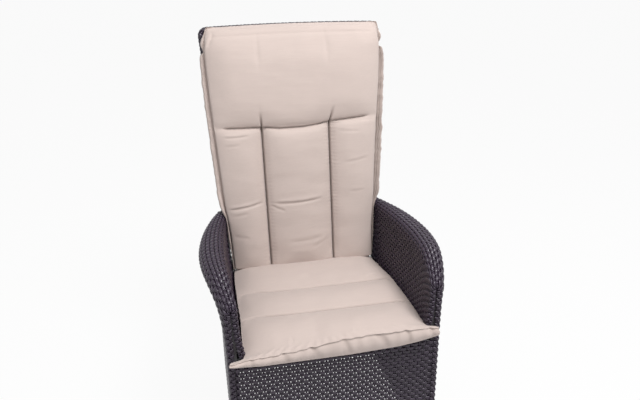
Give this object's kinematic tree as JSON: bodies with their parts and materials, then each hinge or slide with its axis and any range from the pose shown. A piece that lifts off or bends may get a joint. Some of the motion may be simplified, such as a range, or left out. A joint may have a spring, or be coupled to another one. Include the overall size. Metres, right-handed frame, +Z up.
{
  "type": "reclining garden armchair",
  "caption": "High-backed woven garden armchair with padded seat and back; the back reclines between the arms against a locking gas spring worked by a side handle.",
  "frame": {"origin": "on the floor under the middle of the upright chair's outline", "axes": "+X to the right of someone facing the chair, +Y to the rear, +Z up"},
  "size_m": [0.632, 0.667, 1.1167],
  "materials": {
    "wicker": "woven flat synthetic strand, anthracite brown",
    "frame_paint": "powder coated aluminium tube",
    "steel": "zinc plated steel",
    "rod_chrome": "ground and chromed",
    "cylinder_paint": "black painted steel",
    "black_plastic": "moulded nylon",
    "cushion": "beige woven cover, padded"
  },
  "bodies": {
    "root": {"front_post_left": "frame_paint", "front_post_right": "frame_paint", "rear_post_left": "frame_paint", "rear_post_right": "frame_paint", "arm_tube_left": "frame_paint", "arm_tube_right": "frame_paint", "base_rail_left": "frame_paint", "base_rail_right": "frame_paint", "seat_rail_left": "frame_paint", "seat_rail_right": "frame_paint", "front_base_rail": "frame_paint", "rear_base_rail": "frame_paint", "front_seat_rail": "frame_paint", "rear_seat_rail": "frame_paint", "spring_rail": "frame_paint", "hinge_ear_left": "frame_paint", "hinge_ear_right": "frame_paint", "spring_bracket": "frame_paint", "seat_deck": "wicker", "outer_panel_left": "wicker", "outer_panel_right": "wicker", "arm_top_left": "wicker", "arm_top_right": "wicker", "inner_panel_left": "wicker", "inner_panel_right": "wicker", "front_cover_left": "wicker", "front_cover_right": "wicker", "rear_cover_left": "wicker", "rear_cover_right": "wicker", "front_apron": "wicker", "rear_apron": "wicker", "pivot_bolts": "steel", "pivot_nuts": "steel", "head_screws": "steel", "release_head": "steel", "gas_rod": "rod_chrome", "foot_glides": "black_plastic", "shaft_bearing": "black_plastic", "shaft_grommet": "black_plastic", "seat_cushion": "cushion"},
    "backrest": {"pivot_bushes": "black_plastic", "back_frame": "frame_paint", "back_lower_bar": "frame_paint", "back_middle_bar": "frame_paint", "back_shell": "wicker", "back_front": "wicker", "back_cushion": "cushion", "lever_plates": "frame_paint", "lever_pin": "steel"},
    "gas_cylinder": {"gas_cylinder": "cylinder_paint", "cylinder_eye": "steel"},
    "release_lever": {"release_shaft": "steel", "release_handle": "black_plastic"},
    "release_pin": {"release_pin": "steel"}
  },
  "joints": [
    {"name": "backrest_recline", "type": "hinge", "parent": "root", "child": "backrest", "pos_m": [0, 0.19118, 0.38456], "axis": [-1, 0, 0], "range_deg": [0, 38]},
    {"name": "cylinder_slide", "type": "slide", "parent": "root", "child": "gas_cylinder", "axis": [0, -1, 0], "range_m": [0, 0.03583]},
    {"name": "handle_lift", "type": "hinge", "parent": "root", "child": "release_lever", "pos_m": [0, -0.0997, 0.31706], "axis": [-1, 0, 0], "range_deg": [0, 12], "stiffness_Nm_per_rad": 1, "springref_deg": -6.88},
    {"name": "pin_press", "type": "slide", "parent": "root", "child": "release_pin", "axis": [0, 1, 0], "range_m": [0, 0.0029]}
  ],
  "couplings": [
    {"joint": "cylinder_slide", "follows": "backrest_recline", "m_per_rad": 0.053998},
    {"joint": "pin_press", "follows": "handle_lift", "m_per_rad": 0.013846}
  ]
}
